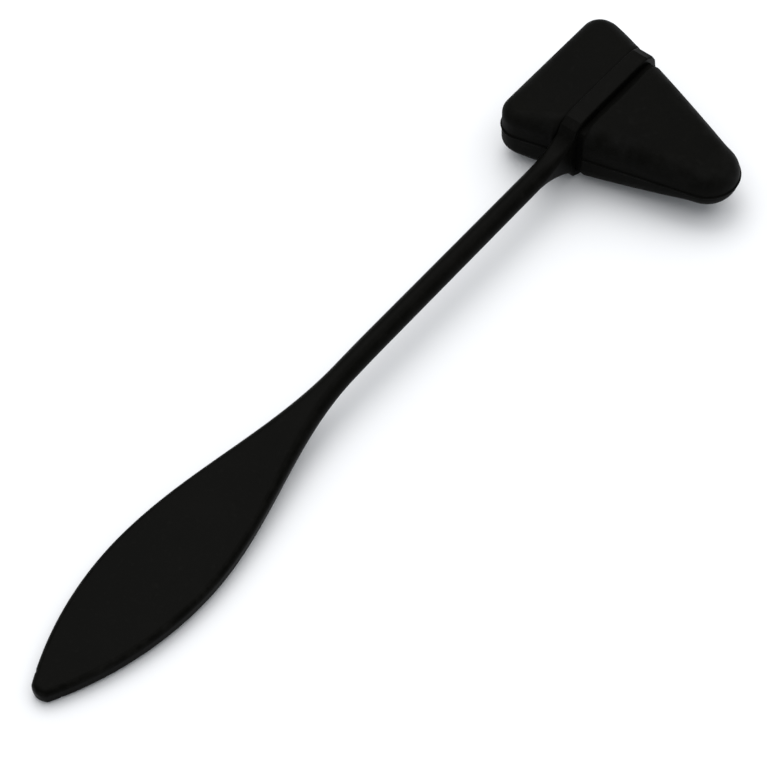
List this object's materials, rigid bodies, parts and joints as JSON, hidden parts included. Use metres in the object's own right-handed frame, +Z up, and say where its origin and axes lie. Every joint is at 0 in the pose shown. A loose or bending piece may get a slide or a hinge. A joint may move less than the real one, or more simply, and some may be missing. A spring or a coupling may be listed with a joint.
{
  "type": "reflex hammer",
  "caption": "Reflex hammer lying on its side: triangular solid rubber head held in a closed metal loop, on a slender round shank with a flat leaf-shaped grip.",
  "frame": {"origin": "middle of the hammer's box, at the height of the table that it lies on", "axes": "+X along the handle toward the head, +Y from the shank toward the wide base of the head, +Z up"},
  "size_m": [0.1934, 0.0498, 0.017],
  "materials": {
    "coated_handle": "satin black coating with a very fine texture",
    "head_rubber": "matte black moulded rubber"
  },
  "bodies": {
    "root": {"handle": "coated_handle", "rubber_head": "head_rubber"}
  },
  "joints": []
}
